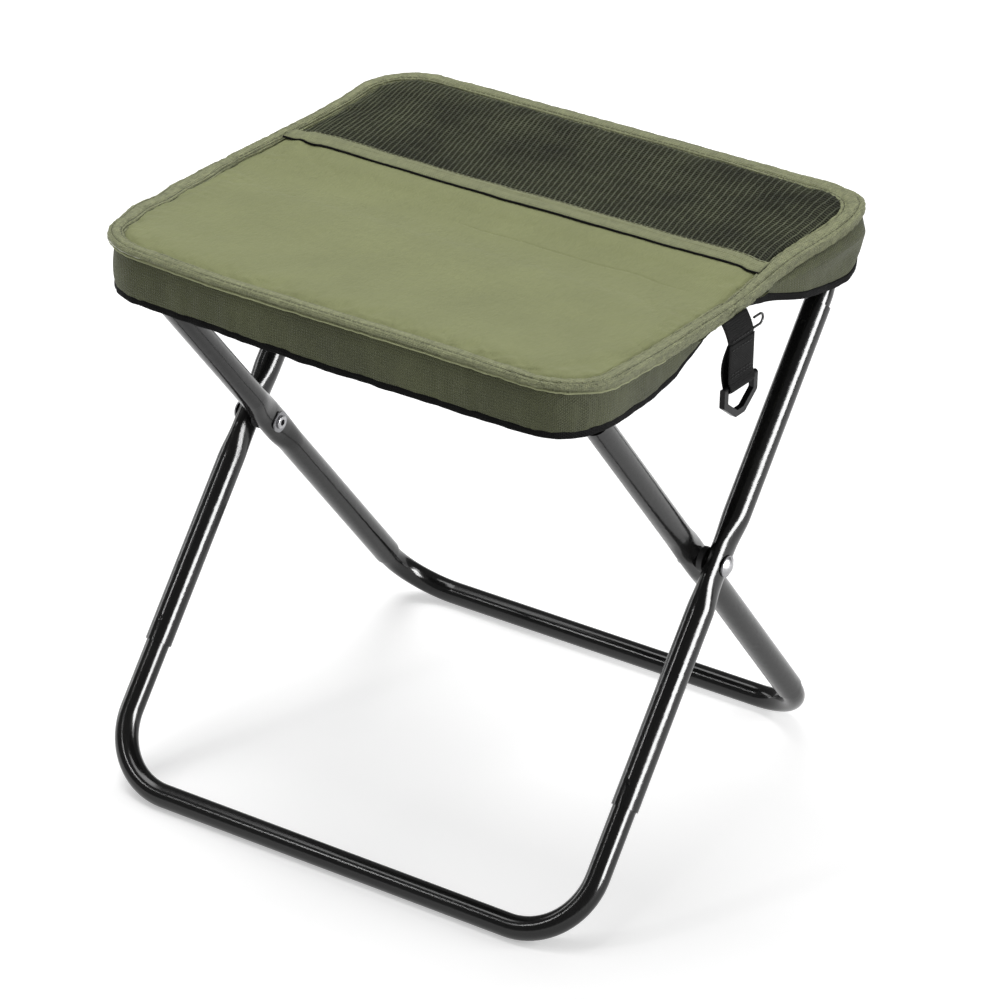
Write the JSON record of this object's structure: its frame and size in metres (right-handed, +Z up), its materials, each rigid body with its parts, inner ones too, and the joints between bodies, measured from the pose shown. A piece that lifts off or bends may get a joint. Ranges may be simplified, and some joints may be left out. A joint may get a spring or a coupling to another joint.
{
  "type": "folding camp stool",
  "caption": "Folding camp stool: crossed tube frame, padded fabric seat in two halves with a mesh pocket, and a hanging strap with a ring.",
  "frame": {"origin": "on the floor under the middle of the stool, at the bottom centre of its box", "axes": "+X along the pivots towards the end with the strap, +Y towards the half with the mesh pocket, +Z up"},
  "size_m": [0.3466, 0.3173, 0.3525],
  "materials": {
    "frame_tube": "gloss black powder coat",
    "rivet_steel": "satin",
    "nylon_spacer": "matte",
    "lining_fabric": "matte",
    "seat_board": "matte",
    "seat_foam": "soft foam",
    "seat_fabric": "fine plain weave",
    "rim_piping": "fine plain weave, puckered",
    "skirt_fabric": "fine plain weave",
    "binding_tape": "ribbed tape",
    "pocket_mesh": "open knitted mesh",
    "pocket_hem": "fine plain weave",
    "strap_webbing": "woven webbing",
    "wire_black": "gloss",
    "ring_plastic": "gloss"
  },
  "bodies": {
    "outer_frame": {"outer_leg_right": "frame_tube", "outer_leg_left": "frame_tube", "outer_foot_bar": "frame_tube", "outer_seat_bar": "frame_tube", "pivot_rivets": "rivet_steel", "outer_rivet_washers": "rivet_steel", "inner_rivet_washers": "rivet_steel", "pivot_spacers": "nylon_spacer"},
    "inner_frame": {"inner_leg_right": "frame_tube", "inner_leg_left": "frame_tube", "inner_foot_bar": "frame_tube", "inner_seat_bar": "frame_tube"},
    "front_seat": {"front_sleeve": "lining_fabric", "front_lining": "lining_fabric", "front_board": "seat_board", "front_pad": "seat_foam", "front_cover": "seat_fabric", "front_rim": "rim_piping", "front_fold_strip": "seat_fabric", "front_skirt": "skirt_fabric", "front_binding": "binding_tape"},
    "rear_seat": {"rear_sleeve": "lining_fabric", "rear_lining": "lining_fabric", "rear_board": "seat_board", "rear_pad": "seat_foam", "rear_cover": "seat_fabric", "rear_rim": "rim_piping", "rear_fold_strip": "seat_fabric", "rear_skirt": "skirt_fabric", "rear_binding": "binding_tape", "mesh_pocket": "pocket_mesh", "pocket_hem": "pocket_hem"},
    "strap_tab": {"strap_tab": "strap_webbing", "wire_loop": "wire_black"},
    "strap": {"strap_webbing": "strap_webbing"},
    "ring": {"strap_ring": "ring_plastic"}
  },
  "joints": [
    {"name": "frame_fold", "type": "hinge", "parent": "outer_frame", "child": "inner_frame", "pos_m": [0, 0, 0.18345], "axis": [-1, 0, 0], "range_deg": [0, 73.14]},
    {"name": "rear_seat_fold", "type": "hinge", "parent": "outer_frame", "child": "rear_seat", "pos_m": [0, 0.125, 0.3335], "axis": [-1, 0, 0], "range_deg": [0, 117.21], "deforming": ["rear_fold_strip", "rear_skirt", "rear_binding"]},
    {"name": "front_seat_fold", "type": "hinge", "parent": "inner_frame", "child": "front_seat", "pos_m": [0, -0.125, 0.3335], "axis": [1, 0, 0], "range_deg": [0, 117.21], "deforming": ["front_fold_strip", "front_skirt", "front_binding"]},
    {"name": "strap_tab_fold", "type": "hinge", "parent": "rear_seat", "child": "strap_tab", "pos_m": [0, 0, 0.34297], "axis": [1, 0, 0], "range_deg": [0, 80.64]},
    {"name": "strap_swing", "type": "hinge", "parent": "strap_tab", "child": "strap", "pos_m": [0.1692, 0, 0.3248], "axis": [-0.0523, -0.9986, 0], "range_deg": [0, 80]},
    {"name": "ring_swing", "type": "hinge", "parent": "strap", "child": "ring", "pos_m": [0.1692, 0, 0.3], "axis": [-0.0523, -0.9986, 0], "range_deg": [-4, 110]}
  ],
  "couplings": [
    {"joint": "rear_seat_fold", "follows": "frame_fold", "ratio": 1.6025},
    {"joint": "front_seat_fold", "follows": "frame_fold", "ratio": 1.6025},
    {"joint": "strap_tab_fold", "follows": "frame_fold", "ratio": 1.1025}
  ]
}
